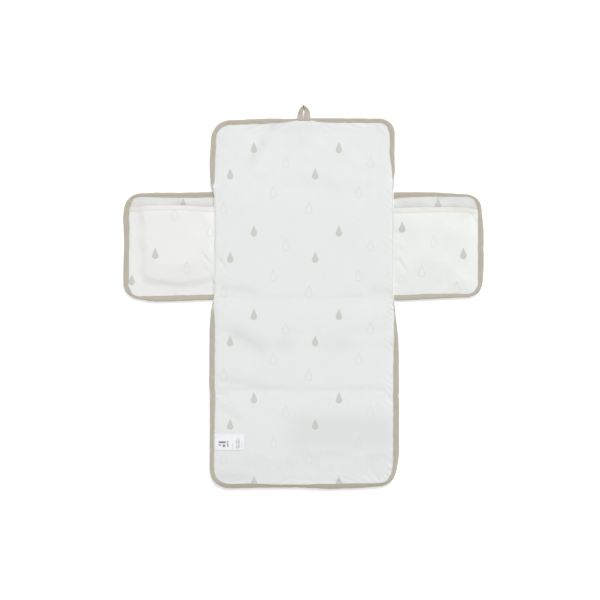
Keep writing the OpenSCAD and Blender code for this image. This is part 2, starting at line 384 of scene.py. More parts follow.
def sheet_from_grid(name, grid, thick, material):
    """A closed thin sheet of cloth: grid = (x, y, z, normals) is its upper face."""
    x, y, z, normals = grid
    rows, cols = x.shape
    upper = np.stack([x, y, z], -1)
    points = np.concatenate([upper.reshape(-1, 3), (upper - thick * normals).reshape(-1, 3)])
    below = rows * cols
    faces = grid_faces(rows, cols)
    faces += [[i + below for i in f] for f in grid_faces(rows, cols, flip=True)]
    rim = [*range(cols), *(r * cols + cols - 1 for r in range(1, rows)),
           *range(rows * cols - 2, (rows - 1) * cols - 1, -1), *(r * cols for r in range(rows - 2, 0, -1))]
    faces += [[b, a, a + below, b + below] for a, b in zip(rim, rim[1:] + rim[:1])]
    out = np.concatenate([normals.reshape(-1, 3), -normals.reshape(-1, 3)])
    return make_piece(name, points, faces, points[:, :2], material, out)


def tube_faces(count, size):
    """Faces of a tube through so many rings of so many points, with both ends closed."""
    faces = []
    for i in range(count - 1):
        for j in range(size):
            a, b = i * size + j, i * size + (j + 1) % size
            faces.append([a, b, b + size, a + size])
    faces.append(list(range(size))[::-1])
    faces.append([(count - 1) * size + j for j in range(size)])
    return faces


def tube_from_rings(name, rings, material, uvs):
    """A closed tube through rings of points, shape (rings, points of a ring, 3)."""
    faces = tube_faces(*rings.shape[:2])
    piece = make_piece(name, rings.reshape(-1, 3), faces, uvs.reshape(-1, 2), material)
    face_outward(piece)
    return piece


def face_outward(piece):
    work = bmesh.new()
    work.from_mesh(piece.data)
    bmesh.ops.recalc_face_normals(work, faces=work.faces)
    work.to_mesh(piece.data)
    work.free()


def join(name, pieces):
    """Joins pieces of the same material into one object of that name."""
    with bpy.context.temp_override(active_object=pieces[0], selected_editable_objects=pieces):
        bpy.ops.object.join()
    pieces[0].name = name
    pieces[0].data.name = name
    return pieces[0]


# ---- materials


class Shader:
    """A node material in the making. Values may be numbers, colours or other nodes' outputs."""

    def __init__(self, name, **constants):
        self.material = bpy.data.materials.new(name)
        self.material.use_nodes = True
        self.tree = self.material.node_tree
        self.bsdf = self.tree.nodes["Principled BSDF"]
        for key, value in constants.items():
            self.bsdf.inputs[key.replace("_", " ")].default_value = value
        self.uv = self.node("UVMap", uv_map="rest").outputs["UV"]

    def node(self, kind, values=None, **settings):
        made = self.tree.nodes.new("ShaderNode" + kind)
        for key, value in settings.items():
            setattr(made, key, value)
        for key, value in (values or {}).items():
            self.put(made.inputs[key], value)
        return made

    def put(self, socket, value):
        if isinstance(value, bpy.types.NodeSocket):
            self.tree.links.new(value, socket)
        else:
            socket.default_value = value

    def math(self, operation, *values):
        return self.node("Math", dict(enumerate(values)), operation=operation).outputs[0]

    def split(self, vector):
        parts = self.node("SeparateXYZ", {0: vector})
        return parts.outputs[0], parts.outputs[1]

    def mix(self, share, a, b):
        return self.node("Mix", {0: share, 6: a, 7: b}, data_type="RGBA").outputs[2]

    def noise(self, scale, detail=2.0, vector=None):
        values = {"Vector": vector or self.uv, "Scale": scale, "Detail": detail}
        return self.node("TexNoise", values).outputs["Fac"]

    def fibres(self, scale_x, scale_y, detail=2.0):
        """Noise drawn out along the threads."""
        place = self.node("Mapping", {"Vector": self.uv, "Scale": (scale_x, scale_y, 1.0)}).outputs[0]
        return self.noise(1.0, detail, place)

    def between(self, value, low, high, to_low=0.0, to_high=1.0):
        values = {0: value, 1: low, 2: high, 3: to_low, 4: to_high}
        return self.node("MapRange", values, interpolation_type="SMOOTHSTEP").outputs[0]

    def streak(self, start, end, reach):
        """1 on the line from start to end, fading to 0 at that distance from it."""
        line = Vector((*end, 0)) - Vector((*start, 0))
        away = self.node("VectorMath", {0: self.uv, 1: (*start, 0)}, operation="SUBTRACT").outputs["Vector"]
        share = self.node("VectorMath", {0: away, 1: line}, operation="DOT_PRODUCT").outputs["Value"]
        share = self.between(share, 0.0, line.length_squared)
        nearest = self.node("VectorMath", {0: line, "Scale": share}, operation="SCALE").outputs["Vector"]
        gap = self.node("VectorMath", {0: away, 1: nearest}, operation="DISTANCE").outputs["Value"]
        return self.between(gap, reach, 0.0)

    def bump(self, height, distance, strength=1.0, under=None):
        values = {"Height": height, "Distance": distance, "Strength": strength}
        if under is not None:
            values["Normal"] = under
        return self.node("Bump", values).outputs["Normal"]

    def finish(self, colour=None, roughness=None, normal=None):
        for key, value in (("Base Color", colour), ("Roughness", roughness), ("Normal", normal)):
            if value is not None:
                self.put(self.bsdf.inputs[key], value)
        return self.material


def tone(red, green, blue, lift=0):
    """A colour as it shows on screen, from 0 to 255, made that much lighter, as the shader's own numbers."""
    parts = [(v + lift) / 255 for v in (red, green, blue)]
    return (*(v / 12.92 if v <= 0.04045 else ((v + 0.055) / 1.055) ** 2.4 for v in parts), 1.0)


def weave(shader, pitch, turn=0.0):
    """Height of a plain weave with that thread pitch: threads that go over and under each other."""
    vector = shader.uv
    if turn:
        turned = shader.node("VectorRotate", {"Vector": vector, "Angle": turn}, rotation_type="Z_AXIS")
        vector = turned.outputs[0]
    x, y = shader.split(vector)
    warp = shader.math("SINE", shader.math("MULTIPLY", x, math.pi / pitch))
    weft = shader.math("SINE", shader.math("MULTIPLY", y, math.pi / pitch))
    return shader.math("MULTIPLY", warp, weft)


# The print repeats in cells of this size, and each motif has a place in the first cell.
PRINT_CELL = (161 * MM, 158 * MM)
SOLID_DROPS = [(0, 0), (-45 * MM, -50 * MM)]
OUTLINE_DROPS = [(60 * MM, -27 * MM), (37 * MM, -84 * MM), (104 * MM, -115 * MM)]
DROP_RADIUS = 6.1 * MM


def drop_distance(shader, x, y, place):
    """Distance from the edge of the nearest drop: round below, pointed above."""
    px = shader.math("SUBTRACT", x, place[0])
    py = shader.math("SUBTRACT", y, place[1])
    px = shader.math("ABSOLUTE", shader.math("WRAP", px, PRINT_CELL[0] / 2, -PRINT_CELL[0] / 2))
    py = shader.math("WRAP", py, PRINT_CELL[1] / 2, -PRINT_CELL[1] / 2)
    py = shader.math("ADD", py, DROP_RADIUS * 0.78)
    squares = shader.math("ADD", shader.math("POWER", px, 2.0), shader.math("POWER", py, 2.0))
    ball = shader.math("SQRT", squares)
    # The straight sides above the ball meet at 46 degrees: the sine and cosine of half of that.
    rise, run = 0.391, 0.920
    slope = shader.math("ADD", shader.math("MULTIPLY", px, run), shader.math("MULTIPLY", py, rise))
    height = shader.math("SUBTRACT", shader.math("MULTIPLY", py, run), shader.math("MULTIPLY", px, rise))
    upper = shader.math("GREATER_THAN", height, 0.0)
    chosen = shader.node("Mix", {0: upper, 2: ball, 3: slope}).outputs[0]
    return shader.math("SUBTRACT", chosen, DROP_RADIUS)


def printed_cotton(name, first_drop, base=(222, 224, 223), painted_shade=()):
    """White cotton with a small grey print of solid and outlined drops, and perhaps some places painted
    greyer as shade.
    """
    shader = Shader(name, Roughness=0.9, Sheen_Weight=0.05, Sheen_Roughness=0.6, Specular_IOR_Level=0.12)
    x, y = shader.split(shader.uv)
    x = shader.math("SUBTRACT", x, first_drop[0])
    y = shader.math("SUBTRACT", y, first_drop[1])
    solid = outline = None
    for places, filled in ((SOLID_DROPS, True), (OUTLINE_DROPS, False)):
        for place in places:
            away = drop_distance(shader, x, y, place)
            if filled:
                ink = shader.between(away, 0.25 * MM, -0.25 * MM)
                solid = ink if solid is None else shader.math("MAXIMUM", solid, ink)
            else:
                ink = shader.between(shader.math("ABSOLUTE", away), 0.65 * MM, 0.3 * MM)
                outline = ink if outline is None else shader.math("MAXIMUM", outline, ink)
    cloudy = shader.noise(14.0, 3.0)
    slub = shader.fibres(90.0, 1500.0)
    plain = shader.mix(cloudy, tone(*base), tone(*base, 3))
    plain = shader.mix(shader.between(slub, 0.35, 0.75, 0.0, 0.35), plain, tone(*base, -7))
    # Places along lines painted greyer, as shade that the cloth's shape doesn't give: start, end, reach and
    # how much.
    for start, end, reach, amount in painted_shade:
        ends = [(a * MM, b * MM) for a, b in (start, end)]
        plain = shader.mix(shader.streak(*ends, reach * MM), plain, tone(*base, -amount))
    worn = shader.between(shader.noise(900.0, 1.0), 0.2, 0.8, 0.75, 1.0)
    colour = shader.mix(shader.math("MULTIPLY", solid, worn), plain, tone(193, 194, 186))
    colour = shader.mix(shader.math("MULTIPLY", outline, worn), colour, tone(210, 210, 202))
    threads = shader.bump(weave(shader, 0.42 * MM), 0.05 * MM, 0.35)
    soft = shader.bump(shader.noise(160.0, 2.0), 0.25 * MM, 0.3, threads)
    rough = shader.between(cloudy, 0.3, 0.7, 0.88, 0.96)
    return shader.finish(colour, rough, soft)


def bias_tape(name, base):
    """Cotton tape, woven on the slant, with cloudy and streaked dye and painted shade between its threads."""
    shader = Shader(name, Roughness=0.8, Sheen_Weight=0.3, Sheen_Roughness=0.5, Specular_IOR_Level=0.3)
    cross = weave(shader, 0.55 * MM, math.radians(45))
    cloudy = shader.noise(45.0, 3.0)
    streak = shader.fibres(60.0, 900.0)
    colour = shader.mix(cloudy, tone(*base, -5), tone(*base, 4))
    colour = shader.mix(shader.between(streak, 0.4, 0.7, 0.0, 0.4), colour, tone(*base, -14))
    # Darker where the weave lies low: painted shade in the hollows between the threads.
    colour = shader.mix(shader.between(cross, -0.6, 0.9, 0.35, 0.0), colour, tone(*base, -24))
    threads = shader.bump(cross, 0.09 * MM, 0.6)
    soft = shader.bump(shader.noise(220.0, 2.0), 0.3 * MM, 0.35, threads)
    return shader.finish(colour, shader.between(cloudy, 0.3, 0.7, 0.74, 0.88), soft)


def plain_cotton(name, base, pitch=0.5 * MM, mottle=4):
    """Plain woven cotton of one dye, with uneven threads and painted shade between them."""
    shader = Shader(name, Roughness=0.85, Sheen_Weight=0.2, Sheen_Roughness=0.6, Specular_IOR_Level=0.25)
    cloudy = shader.noise(30.0, 3.0)
    slub = shader.fibres(120.0, 1400.0)
    cross = weave(shader, pitch)
    colour = shader.mix(cloudy, tone(*base, -mottle), tone(*base, mottle))
    colour = shader.mix(shader.between(slub, 0.4, 0.7, 0.0, 0.5), colour, tone(*base, -3 * mottle))
    # Darker where the weave lies low: painted shade in the hollows between the threads.
    colour = shader.mix(shader.between(cross, -0.6, 0.9, 0.3, 0.0), colour, tone(*base, -4 * mottle))
    threads = shader.bump(cross, 0.08 * MM, 0.5)
    soft = shader.bump(shader.noise(200.0, 2.0), 0.25 * MM, 0.3, threads)
    return shader.finish(colour, shader.between(cloudy, 0.3, 0.7, 0.78, 0.9), soft)


def thread_cotton(name, base):
    """Twisted sewing thread: fine slanted strands."""
    shader = Shader(name, Roughness=0.7, Sheen_Weight=0.3, Specular_IOR_Level=0.35)
    place = shader.node("TexCoord").outputs["Object"]
    values = {"Vector": place, "Scale": 900.0, "Distortion": 2.0}
    twist = shader.node("TexWave", values, bands_direction="DIAGONAL").outputs["Fac"]
    # Painted shade in the grooves between the strands, and painted light on their crests.
    colour = shader.mix(twist, tone(*base, -14), tone(*base, 6))
    return shader.finish(colour, None, shader.bump(twist, 0.05 * MM, 0.5))


def satin(name, low, high):
    """White satin ribbon with plain printed bars that say nothing."""
    shader = Shader(name, Roughness=0.38, Sheen_Weight=0.2, Specular_IOR_Level=0.45, Anisotropic=0.4)
    x, y = shader.split(shader.uv)
    wide, tall = high.x - low.x, high.y - low.y
    across = shader.math("DIVIDE", shader.math("SUBTRACT", x, low.x), wide)
    up = shader.math("DIVIDE", shader.math("SUBTRACT", y, low.y), tall)

    def band(value, low, high):
        soft = 0.006
        rising = shader.between(value, low - soft, low + soft)
        return shader.math("MULTIPLY", rising, shader.between(value, high + soft, high - soft))

    def bar(x0, x1, y0, y1):
        return shader.math("MULTIPLY", band(across, x0, x1), band(up, y0, y1))

    ink = bar(0.08, 0.33, 0.46, 0.58)
    for other in (bar(0.22, 0.31, 0.22, 0.38), bar(0.08, 0.16, 0.30, 0.38)):
        ink = shader.math("MAXIMUM", ink, other)
    broken = shader.between(shader.noise(420.0, 0.0), 0.36, 0.46)
    for x0, x1, y0, y1, dark in ((0.37, 0.43, 0.2, 0.62, 0.75), (0.555, 0.575, 0.06, 0.42, 0.45),
                                 (0.705, 0.73, 0.1, 0.78, 0.75), (0.77, 0.82, 0.12, 0.78, 0.65),
                                 (0.9, 0.93, 0.14, 0.55, 0.25)):
        dashes = shader.math("MULTIPLY", bar(x0, x1, y0, y1), broken)
        ink = shader.math("MAXIMUM", ink, shader.math("MULTIPLY", dashes, dark))
    cloudy = shader.noise(120.0, 2.0)
    plain = shader.mix(cloudy, tone(231, 232, 236), tone(239, 240, 243))
    colour = shader.mix(shader.math("MULTIPLY", ink, 0.8), plain, tone(70, 68, 72))
    fine = shader.fibres(200.0, 5000.0, 1.0)
    rough = shader.between(cloudy, 0.3, 0.7, 0.32, 0.46)
    return shader.finish(colour, rough, shader.bump(fine, 0.05 * MM, 0.4))


def resin(name, base):
    """Semi-gloss button resin with faint clouds and fine rubbing marks."""
    shader = Shader(name, Roughness=0.35, Coat_Weight=0.3, Coat_Roughness=0.2, Specular_IOR_Level=0.5)
    place = shader.node("TexCoord").outputs["Object"]
    cloudy = shader.noise(110.0, 4.0, place)
    colour = shader.mix(cloudy, tone(*base, -16), tone(*base, 14))
    marks = shader.noise(1500.0, 2.0, place)
    rough = shader.between(marks, 0.3, 0.8, 0.28, 0.48)
    return shader.finish(colour, rough, shader.bump(marks, 0.03 * MM, 0.3))


first_drop = (-94.8 * MM, 124.5 * MM)
cover_cloth = printed_cotton("cover_print", first_drop, painted_shade=GREYED)
left_cloth = printed_cotton("left_pocket_print", (-281.5 * MM, 82 * MM), (228, 228, 227))
right_cloth = printed_cotton("right_pocket_print", (186 * MM, 132 * MM), (227, 229, 227))
# The lining has the cover's print on a darker base, as painted shade inside the pockets, and is painted
# greyer still as shade near the right pocket's mouth.
lining_painted_shade = [((265, 190), (320, 180), 26, 5)]
lining_cloth = printed_cotton("lining_print", (254 * MM, 176 * MM), (218, 218, 216), lining_painted_shade)
outer_cloth = plain_cotton("outer_cotton", (176, 168, 155))
tape_cloth = bias_tape("taupe_tape", (187, 180, 167))
hem_cloth = plain_cotton("cream_hem", (222, 221, 216), 0.45 * MM, 2)
# The seams' cream is paler than the hem's, as painted light that lifts the shade of the groove where they lie
# between the mat and the wings.
seam_cloth = plain_cotton("cream_seam", (238, 236, 229), 0.4 * MM, 2)
taupe_thread = thread_cotton("taupe_thread", (206, 201, 190))
cream_thread = thread_cotton("cream_thread", (224, 222, 214))
label_cloth = satin("label_satin", label_low, label_high)

# ---- camera, light and floor


camera_height = 3.162
world_strength = 0.485
key_power = 3670
# The floor and the backdrop give off this much light of their own.
floor_glow, backdrop_glow = 0.29, 0.62


def set_stage():
    scene = bpy.context.scene
    camera = bpy.data.objects.new("camera", bpy.data.cameras.new("camera"))
    camera.data.lens = 100
    camera.location = (-7.5 * MM, -6.5 * MM, camera_height)
    scene.collection.objects.link(camera)
    scene.camera = camera
    scene.view_settings.view_transform = "Standard"

    world = bpy.data.worlds.new("studio")
    world.use_nodes = True
    world.node_tree.nodes["Background"].inputs["Color"].default_value = (1.0, 1.0, 1.0, 1.0)
    world.node_tree.nodes["Background"].inputs["Strength"].default_value = world_strength
    scene.world = world

    # A large soft light beyond the flap, a little to the right, low enough to show the cloth's folds.
    lamp = bpy.data.lights.new("key", "AREA")
    lamp.shape = "SQUARE"
    lamp.size = 8.0
    lamp.energy = key_power
    holder = bpy.data.objects.new("key", lamp)
    holder.location = (4.6, 14.4, 7.5)
    holder.rotation_euler = (-holder.location).to_track_quat("-Z", "Y").to_euler()
    scene.collection.objects.link(holder)

    # A round floor that curves up into a low backdrop.
    rings = [(0.01, 0.0), (1.0, 0.0), (2.5, 0.0), (5.0, 0.0), (7.6, 0.0)]
    rings += [(7.6 + math.sin(a), 1 - math.cos(a)) for a in np.radians(np.arange(15, 91, 15))] + [(8.6, 2.0)]
    turn = np.radians(np.arange(0, 360, 5))
    count = len(turn)
    for name, part, glow in (("floor", rings[:5], floor_glow), ("backdrop", rings[4:], backdrop_glow)):
        verts = [(r * math.cos(a), r * math.sin(a), z) for r, z in part for a in turn]
        faces = []
        for base in range(0, (len(part) - 1) * count, count):
            for j in range(count):
                k = (j + 1) % count
                faces.append([base + j, base + k, base + count + k, base + count + j])
        if name == "floor":
            faces.append(list(range(count)))
        mesh = bpy.data.meshes.new(name)
        mesh.from_pydata(verts, [], faces)
        mesh.polygons.foreach_set("use_smooth", [True] * len(mesh.polygons))
        ground = bpy.data.objects.new(name, mesh)
        ground.location.z = -0.3 * MM
        face_outward(ground)
        pale = bpy.data.materials.new("pale_" + name)
        pale.use_nodes = True
        inputs = pale.node_tree.nodes["Principled BSDF"].inputs
        inputs["Base Color"].default_value = tone(250, 250, 250)
        inputs["Roughness"].default_value = 0.9
        inputs["Emission Color"].default_value = (1.0, 1.0, 1.0, 1.0)
        inputs["Emission Strength"].default_value = glow
        mesh.materials.append(pale)
        scene.collection.objects.link(ground)


set_stage()

# ---- the mat's cover and outer fabric


def mat_columns(fine, coarse):
    half = mat_half - tuck
    edge = 30 * MM
    return steps((-half, -half + edge, fine), (-half + edge, half - edge, coarse), (half - edge, half, fine))


def mat_rows(fine, coarse):
    """Rows over the whole mat: closest where it bends, and one on every line where its pieces meet."""
    low, high = mat_bottom + tuck, mat_top - tuck
    edge = 40 * MM
    stops = [(low, fine), (low + edge, coarse)]
    for fold, near, split in ((end_y, 10 * MM, split_panel), (panel_y, 7 * MM, split_lower),
                              (lower_y, 7 * MM, split_centre), (upper_y, 9 * MM, split_flap),
                              (flap_y, 9 * MM, high - edge)):
        stops += [(fold - near, 1.0 * MM), (fold + near, coarse), (split, coarse)]
    stops[-1] = (high - edge, fine)
    stops.append((high, fine))
    return steps(*((a, b, step) for (a, step), (b, _) in zip(stops, stops[1:])))


def mat_grid(fine, coarse, height):
    """A grid over the whole mat: rows follow the rounded outline, and every split has a row."""
    y = mat_rows(fine, coarse)
    inner = corner - tuck
    rise = np.maximum(np.abs(y - middle_y) - ((mat_top - mat_bottom) / 2 - corner), 0)
    half = mat_half - corner + np.sqrt(np.maximum(inner**2 - rise**2, 0))
    columns = mat_columns(fine, coarse)
    x = columns[None, :] * (half / (mat_half - tuck))[:, None]
    y = np.repeat(y[:, None], len(columns), 1)
    z = height(x, y)
    moved_x, moved_y = shape_mat(x, y)
    return y[:, 0], (moved_x, moved_y, z, grid_normals(moved_x, moved_y, z))


def rows_between(rows, grid, low, high):
    keep = (rows >= low - 1e-7) & (rows <= high + 1e-7)
    return tuple(part[keep] for part in grid)


# Each stretch of the mat: name, lower end, upper end, bodies it bends between, where the bend starts and
# ends, and the CAD panels it stands for.
bend = 5.5 * MM
STRETCHES = [
    ("flap", split_flap, 1.0, ("upper_fold", "flap"), (flap_y - bend, flap_y + bend), ["flap"]),
    ("upper", split_centre, split_flap, ("centre", "upper_fold"), (upper_y - bend, upper_y + bend),
     ["upper_fold", "centre"]),
    ("lower", split_lower, split_centre, ("centre", "lower_fold"), (lower_y + bend, lower_y - bend),
     ["lower_fold"]),
    ("panel", split_panel, split_lower, ("lower_fold", "lower_panel"), (panel_y + bend, panel_y - bend),
     ["lower_panel"]),
    ("end", -1.0, split_panel, ("lower_panel", "end_panel"), (end_y + 9 * MM, end_y - 9 * MM), ["end_panel"]),
]


def bend_piece(piece):
    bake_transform(piece)


def make_mat():
    rows, grid = mat_grid(1.7 * MM, 3.0 * MM, cover_height)
    back_rows, back = mat_grid(3.0 * MM, 5.0 * MM, back_height)
    back = (*back[:3], -back[3])
    for name, low, high, bodies, bend_ys, panels in STRETCHES:
        cover = slab_from_grid("cover_" + name, rows_between(rows, grid, low, high), 1.3 * MM, cover_cloth)
        bend_piece(cover)
        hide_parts(*(p + part for p in panels for part in ("_cover", "_padding")))
        outer = slab_from_grid("outer_" + name, rows_between(back_rows, back, low, high), 1.2 * MM,
                               outer_cloth, flip=True)
        bend_piece(outer)
        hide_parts(*(p + "_backing" for p in panels))


make_mat()

# ---- tape and stitches


def tape_profile(width, top, low, thick, lean=0):
    """Cross-section of folded tape as (distance in from the edge, height) points, for rings of widths."""
    nose = np.minimum(1.5 * MM, width * 0.4)
    line = 1.8 * MM
    upper = [(1.0, -0.12 * MM), (0.93, 0.0), (None, 0.0), (None, -0.22 * MM), (None, 0.0), (0.45, 0.02 * MM),
             (0.25, 0.0)]
    dents = [None, None, line - 0.7 * MM, line, line + 0.8 * MM, None, None]
    outer = []
    for (share, dz), dent in zip(upper, dents):
        inset = np.maximum(width - dent, width * 0.5) if share is None else width * share
        outer.append((inset, top + dz - lean * (1 - inset / width)))
    start = top - lean * (1 - nose / width)
    middle, half = (start + low) / 2, (start - low) / 2
    for k in range(9):
        angle = math.radians(90 - 22.5 * k)
        outer.append((nose - nose * math.cos(angle), middle + half * math.sin(angle)))
    outer += [(width * 0.5, low), (width, low)]
    inner = [(width, low + thick), (width * 0.5, low + thick), (nose + thick, low + thick),
             (thick + 0.1 * MM, middle), (nose + thick, start - thick),
             (width * 0.5, top - 0.5 * lean - thick), (width, top - thick)]
    profile = [np.stack(np.broadcast_arrays(d, z), -1) for d, z in outer + inner]
    return np.stack(profile, 1)


def path_lengths(points):
    gaps = np.linalg.norm(np.diff(points, axis=0), axis=1)
    return np.concatenate([[0], np.cumsum(gaps)])


def sweep_tape(name, points, inward, width, top, low, place, material, thick=tape_thick, lean=0):
    """Tape along an edge. place(x, y) moves flat points to where they are sewn."""
    profile = tape_profile(width, top, low, thick, lean)
    flat = points[:, None, :] + inward[:, None, :] * profile[..., :1]
    x, y = place(flat[..., 0], flat[..., 1])
    rings = np.stack([x, y, profile[..., 1]], -1)
    along = np.repeat(path_lengths(points)[:, None], profile.shape[1], 1)
    round_profile = np.stack([path_lengths(p) for p in profile])
    return tube_from_rings(name, rings, material, np.stack([along, round_profile], -1))


def stitches(name, points, inward, inset, height, place, material):
    """A row of sewn stitches that lie along a path, inset from it."""
    pitch, length, radius = 3.1 * MM, 2.2 * MM, 0.27 * MM
    flat = points + inward * inset[:, None]
    x, y = place(flat[:, 0], flat[:, 1])
    line = np.stack([x, y, height], -1)
    lengths = path_lengths(line)
    middles = np.arange(pitch, lengths[-1] - pitch, pitch)
    shape = [(-0.5, 0.35), (-0.32, 0.9), (0.0, 1.0), (0.32, 0.9), (0.5, 0.35)]
    sides = 6
    centre, ahead = (np.stack([np.interp(at, lengths, line[:, k]) for k in range(3)], -1)
                     for at in (middles, middles + pitch / 3))
    ahead = ahead - centre
    ahead = ahead / np.linalg.norm(ahead, axis=1, keepdims=True)
    side = np.stack([-ahead[:, 1], ahead[:, 0], 0 * ahead[:, 0]], -1)
    up = np.array([0, 0, 1.0])
    angle = 2 * math.pi * np.arange(sides)[:, None] / sides
    ring = side[:, None, :] * np.cos(angle) + up * np.sin(angle) * 0.8
    rings = [centre[:, None, :] + ahead[:, None, :] * along * length + ring * radius * size
             - up * abs(along) * 0.5 * radius for along, size in shape]
    verts = np.stack(rings, 1).reshape(-1, 3)
    one = tube_faces(len(shape), sides)
    faces = [[v + base for v in f] for base in range(0, len(verts), len(shape) * sides) for f in one]
    piece = make_piece(name, verts, faces, verts[:, :2], material)
    face_outward(piece)
    return piece


def arc(cx, cy, radius, start, end):
    """Points and inward normals on a quarter circle, angles in degrees."""
    count = max(6, round(radius * math.pi / 2 / path_step))
    a = np.radians(np.linspace(start, end, count + 1))
    unit = np.stack([np.cos(a), np.sin(a)], -1)
    return np.array([cx, cy]) + radius * unit, -unit


def straight(start, end, inward):
    start, end = np.array(start, float), np.array(end, float)
    count = max(1, round(np.linalg.norm(end - start) / path_step))
    share = np.linspace(0, 1, count + 1)[:, None]
    return start + (end - start) * share, np.tile(np.array(inward, float), (count + 1, 1))


def chain(*parts):
    """Joins stretches of (points, inward) end to end."""
    points = np.concatenate([p if i == 0 else p[1:] for i, (p, n) in enumerate(parts)])
    inward = np.concatenate([n if i == 0 else n[1:] for i, (p, n) in enumerate(parts)])
    return points, inward


def end_path(end_sign, low_y):
    """Edge of one bound end of the mat, from low_y on the left round to low_y on the right."""
    tip = mat_top if end_sign > 0 else mat_bottom
    cy = tip - end_sign * corner
    left = arc(-mat_half + corner, cy, corner, 180, 180 - end_sign * 90)
    right = arc(mat_half - corner, cy, corner, end_sign * 90, 0)
    return chain(straight((-mat_half, low_y), (-mat_half, cy), (1, 0)), left,
                 straight((-mat_half + corner, tip), (mat_half - corner, tip), (0, -end_sign)), right,
                 straight((mat_half, cy), (mat_half, low_y), (-1, 0)))


def side_path(side, start_y, end_y):
    return straight((side * mat_half, start_y), (side * mat_half, end_y), (-side, 0))


def mat_tape(name, path, material):
    points, inward = path
    x, y = points[:, 0], points[:, 1]
    width = mat_tape_width(x, y)
    bare = waist(y)
    ruck = 0.12 * MM * waves(x, y, 60 * MM, 9 * MM, 0.3)
    top = tape_top * (1 - bare) + bare_top * bare + ruck
    low = np.full_like(top, tape_low)
    tape = sweep_tape(name, points, inward, width, top, low, shape_mat, material, lean=roll_under(y))
    inset = np.maximum(width - 0.6 * MM, 0.6 * MM)
    sewn = stitches(name + "_stitches", points, inward, inset, top - 0.12 * MM, shape_mat, taupe_thread)
    return tape, sewn


def bind_mat():
    """The mat's tape, in the same stretches as its cover."""
    seam_end = [waist_high + 1 * MM, waist_low - 1 * MM]
    paths = {
        "flap": [end_path(1, split_flap)],
        "upper": [side_path(s, seam_end[0], split_flap) for s in (-1, 1)],
        "lower": [side_path(s, seam_end[1], split_lower) for s in (-1, 1)],
        "panel": [side_path(s, split_lower, split_panel) for s in (-1, 1)],
        "end": [end_path(-1, split_panel)],
    }
    for name, _, _, bodies, bend_ys, panels in STRETCHES:
        made = [mat_tape(f"tape_{name}_{i}", path, tape_cloth) for i, path in enumerate(paths[name])]
        tapes, sewn = ([m[k] for m in made] for k in (0, 1))
        tape = join("tape_" + name, tapes)
        thread = join("stitches_" + name, sewn)
        for piece, slot in ((tape, "binding_tape"), (thread, "thread")):
            bend_piece(piece)
        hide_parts(panels[0] + "_binding")


def seam_lines():
    """The narrow rolled seams beside the wings, split at the middle of the centre panel."""
    for side, name in ((-1, "left"), (1, "right")):
        for part, ends, stretch in (("upper", (split_centre, waist_high + 1 * MM), STRETCHES[1]),
                                    ("lower", (waist_low - 1 * MM, split_centre), STRETCHES[2])):
            points, inward = side_path(side, *ends)
            y = points[:, 1]
            top = bare_top + 0.08 * MM * waves(0 * y, y, 60 * MM, 12 * MM, 1.0 + side)
            piece = sweep_tape(f"{name}_seam_{part}", points, inward, np.full_like(y, seam_w), top,
                               np.full_like(y, 0.4 * MM), shape_mat, seam_cloth, 0.5 * MM)
            bend_piece(piece)
            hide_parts(name + "_seam_tape")


bind_mat()
seam_lines()

# ---- the wings

wing_width = wing_high.x - wing_low.x
wing_mid = (wing_low.y + wing_high.y) / 2
wing_half = (wing_high.y - wing_low.y) / 2
# The wing's cloth starts this far inside its seam, under the mat's edge.
seam_tuck = 2.4 * MM


def wing_depth(u, y):
    """Distance inside a wing's three bound edges. u is the distance out from the seam."""
    qu = u - (wing_width - wing_corner)
    qy = np.abs(y - wing_mid) - (wing_half - wing_corner)
    outside = np.hypot(np.maximum(qu, 0), np.maximum(qy, 0))
    return wing_corner - outside - np.minimum(np.maximum(qu, qy), 0)


# How far each sewn edge of a wing stands outside its straight outline, and the tape that shows there. Places
# run along Y for the outer edge and outwards from the seam for the others, in millimetres.
WING_EDGES = {
    -1: {"outer": [(10, 1), (45, 1), (90, -0.5), (120, -0.5), (150, 1), (175, -0.5)],
         "upper": [(0, 0.5), (60, -0.7), (100, -0.7), (145, -1.8)],
         "lower": [(0, -1.4), (100, 1.7), (115, 1.4), (145, -2.2)]},
    1: {"outer": [(5, -3.5), (45, -1), (70, -0.3), (115, -0.3), (175, -4.3)],
        "upper": [(0, 0.5), (70, 0), (150, -4.2)],
        "lower": [(0, 0), (60, -2.5), (150, -6.4)]},
}
WING_TAPE = {
    -1: {"outer": [(10, 9), (40, 10.5), (90, 10), (140, 11)],
         "upper": [(0, 10.4), (100, 9.3), (150, 7)],
         "lower": [(0, 10.5), (110, 10), (150, 5.5)]},
    1: {"outer": [(10, 9), (50, 11.5), (115, 11.5), (170, 9)],
        "upper": [(0, 12.5), (10, 10.5), (90, 8), (150, 5)],
        "lower": [(0, 10), (60, 11), (115, 10), (150, 8)]},
}
# How far each pocket's mouth is from its straight line, outwards from the seam, in millimetres.
WING_MOUTH = {
    -1: [(0, 3), (60, 6.5), (110, 6.5), (150, 4)],
    1: [(0, 1), (60, 2.7), (130, 3.2), (160, -1)],
}


def beside_wing(side, table, u, y):
    """Values of the nearest outer edge and of the nearest upper or lower edge of a wing."""
    ends = np.where(y > wing_mid, curve(u, table[side]["upper"]), curve(u, table[side]["lower"]))
    return curve(y, table[side]["outer"]), ends


def wing_tape_width(side, u, y):
    outer, ends = beside_wing(side, WING_TAPE, u, y)
    beyond_end = np.abs(y - wing_mid) - (wing_half - wing_corner)
    beyond_side = u - (wing_width - wing_corner)
    width = outer + (ends - outer) * ramp(-12 * MM, 12 * MM, beyond_end - beyond_side)
    return width + 0.2 * MM * waves(u, y, 50 * MM, 14 * MM, side + 0.4)


